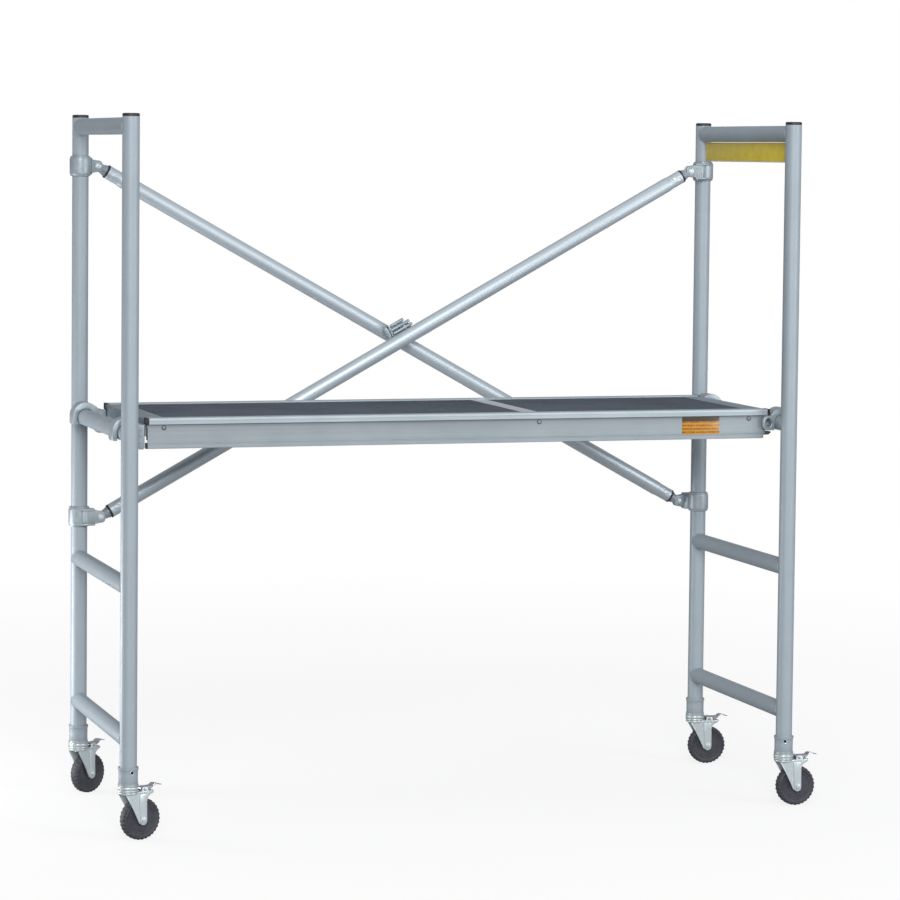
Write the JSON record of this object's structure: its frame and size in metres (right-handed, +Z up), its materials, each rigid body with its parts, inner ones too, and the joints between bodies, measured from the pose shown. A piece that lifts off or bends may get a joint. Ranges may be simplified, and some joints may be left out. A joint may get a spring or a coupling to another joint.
{
  "type": "rolling scaffold",
  "caption": "Narrow rolling work scaffold: two ladder end frames, an X brace, a hook-on platform and swivelling casters with foot brakes.",
  "frame": {"origin": "middle of the bounding box's bottom face, on the floor", "axes": "+Z up, +X along the platform towards the end with the joint strip, +Y towards the side that carries the X brace"},
  "size_m": [2.2382, 0.84, 2.131],
  "materials": {
    "frame_tube": "matt light blue-grey coated tube",
    "brace_tube": "satin bare tube",
    "beam_aluminium": "satin extrusion",
    "cast_fitting": "rough casting",
    "zinc_steel": "zinc plated",
    "tyre": "moulded dark grey",
    "black_plastic": "moulded",
    "deck_board": "film-faced board with a fine anti-slip grain"
  },
  "bodies": {
    "scaffold_frame": {"upright_front_left": "frame_tube", "top_cap_front_left": "black_plastic", "upright_front_right": "frame_tube", "top_cap_front_right": "black_plastic", "upright_rear_left": "frame_tube", "top_cap_rear_left": "black_plastic", "upright_rear_right": "frame_tube", "top_cap_rear_right": "black_plastic", "rung_left_1": "frame_tube", "rung_left_2": "frame_tube", "rung_left_3": "frame_tube", "rung_left_4": "frame_tube", "rung_right_1": "frame_tube", "rung_right_2": "frame_tube", "rung_right_3": "frame_tube", "rung_right_4": "frame_tube", "brace_tube_falling": "brace_tube", "brace_tube_rising": "brace_tube", "brace_end_high_left": "cast_fitting", "collar_high_left": "cast_fitting", "brace_end_high_right": "cast_fitting", "collar_high_right": "cast_fitting", "brace_end_low_left": "cast_fitting", "collar_low_left": "cast_fitting", "brace_end_low_right": "cast_fitting", "collar_low_right": "cast_fitting", "cross_coupler": "cast_fitting", "caster_socket_front_left": "zinc_steel", "caster_socket_front_right": "zinc_steel", "caster_socket_rear_left": "zinc_steel", "caster_socket_rear_right": "zinc_steel"},
    "platform": {"side_beam_front": "beam_aluminium", "side_beam_rear": "beam_aluminium", "end_member_left": "beam_aluminium", "end_member_right": "beam_aluminium", "deck_joint_strip": "beam_aluminium", "deck_panel_left": "deck_board", "deck_panel_right": "deck_board", "hook_front_left": "cast_fitting", "hook_front_right": "cast_fitting", "hook_rear_left": "cast_fitting", "hook_rear_right": "cast_fitting"},
    "latch_front_right": {"latch_front_right": "zinc_steel"},
    "latch_rear_left": {"latch_rear_left": "zinc_steel"},
    "fork_front_left": {"caster_fork_front_left": "zinc_steel", "wheel_axle_front_left": "zinc_steel"},
    "wheel_front_left": {"wheel_front_left": "tyre"},
    "pedal_front_left": {"brake_pedal_front_left": "zinc_steel"},
    "fork_front_right": {"caster_fork_front_right": "zinc_steel", "wheel_axle_front_right": "zinc_steel"},
    "wheel_front_right": {"wheel_front_right": "tyre"},
    "pedal_front_right": {"brake_pedal_front_right": "zinc_steel"},
    "fork_rear_left": {"caster_fork_rear_left": "zinc_steel", "wheel_axle_rear_left": "zinc_steel"},
    "wheel_rear_left": {"wheel_rear_left": "tyre"},
    "pedal_rear_left": {"brake_pedal_rear_left": "zinc_steel"},
    "fork_rear_right": {"caster_fork_rear_right": "zinc_steel", "wheel_axle_rear_right": "zinc_steel"},
    "wheel_rear_right": {"wheel_rear_right": "tyre"},
    "pedal_rear_right": {"brake_pedal_rear_right": "zinc_steel"}
  },
  "joints": [
    {"name": "platform_lift", "type": "slide", "parent": "scaffold_frame", "child": "platform", "axis": [0, 0, 1], "range_m": [0, 0.7]},
    {"name": "latch_slide_front_right", "type": "slide", "parent": "platform", "child": "latch_front_right", "axis": [1, 0, 0], "range_m": [0, 0.03]},
    {"name": "latch_slide_rear_left", "type": "slide", "parent": "platform", "child": "latch_rear_left", "axis": [-1, 0, 0], "range_m": [0, 0.03]},
    {"name": "swivel_front_left", "type": "hinge", "parent": "scaffold_frame", "child": "fork_front_left", "pos_m": [-1.07765, -0.3888, 0.16], "axis": [0, 0, 1], "continuous": true},
    {"name": "wheel_spin_front_left", "type": "hinge", "parent": "fork_front_left", "child": "wheel_front_left", "pos_m": [-1.03961, -0.37644, 0.0625], "axis": [-0.309, 0.9511, 0], "continuous": true},
    {"name": "brake_front_left", "type": "hinge", "parent": "fork_front_left", "child": "pedal_front_left", "pos_m": [-1.0358, -0.3752, 0.1515], "axis": [-0.309, 0.9511, 0], "range_deg": [0, 10]},
    {"name": "swivel_front_right", "type": "hinge", "parent": "scaffold_frame", "child": "fork_front_right", "pos_m": [1.00635, -0.3888, 0.16], "axis": [0, 0, 1], "continuous": true},
    {"name": "wheel_spin_front_right", "type": "hinge", "parent": "fork_front_right", "child": "wheel_front_right", "pos_m": [1.04635, -0.3888, 0.0625], "axis": [0, 1, 0], "continuous": true},
    {"name": "brake_front_right", "type": "hinge", "parent": "fork_front_right", "child": "pedal_front_right", "pos_m": [1.05035, -0.3888, 0.1515], "axis": [0, 1, 0], "range_deg": [0, 10]},
    {"name": "swivel_rear_left", "type": "hinge", "parent": "scaffold_frame", "child": "fork_rear_left", "pos_m": [-1.07765, 0.3492, 0.16], "axis": [0, 0, 1], "continuous": true},
    {"name": "wheel_spin_rear_left", "type": "hinge", "parent": "fork_rear_left", "child": "wheel_rear_left", "pos_m": [-1.04373, 0.3704, 0.0625], "axis": [-0.5299, 0.848, 0], "continuous": true},
    {"name": "brake_rear_left", "type": "hinge", "parent": "fork_rear_left", "child": "pedal_rear_left", "pos_m": [-1.04034, 0.37252, 0.1515], "axis": [-0.5299, 0.848, 0], "range_deg": [0, 10]},
    {"name": "swivel_rear_right", "type": "hinge", "parent": "scaffold_frame", "child": "fork_rear_right", "pos_m": [1.00635, 0.3492, 0.16], "axis": [0, 0, 1], "continuous": true},
    {"name": "wheel_spin_rear_right", "type": "hinge", "parent": "fork_rear_right", "child": "wheel_rear_right", "pos_m": [1.04613, 0.34502, 0.0625], "axis": [0.1045, 0.9945, 0], "continuous": true},
    {"name": "brake_rear_right", "type": "hinge", "parent": "fork_rear_right", "child": "pedal_rear_right", "pos_m": [1.05011, 0.3446, 0.1515], "axis": [0.1045, 0.9945, 0], "range_deg": [0, 10]}
  ]
}
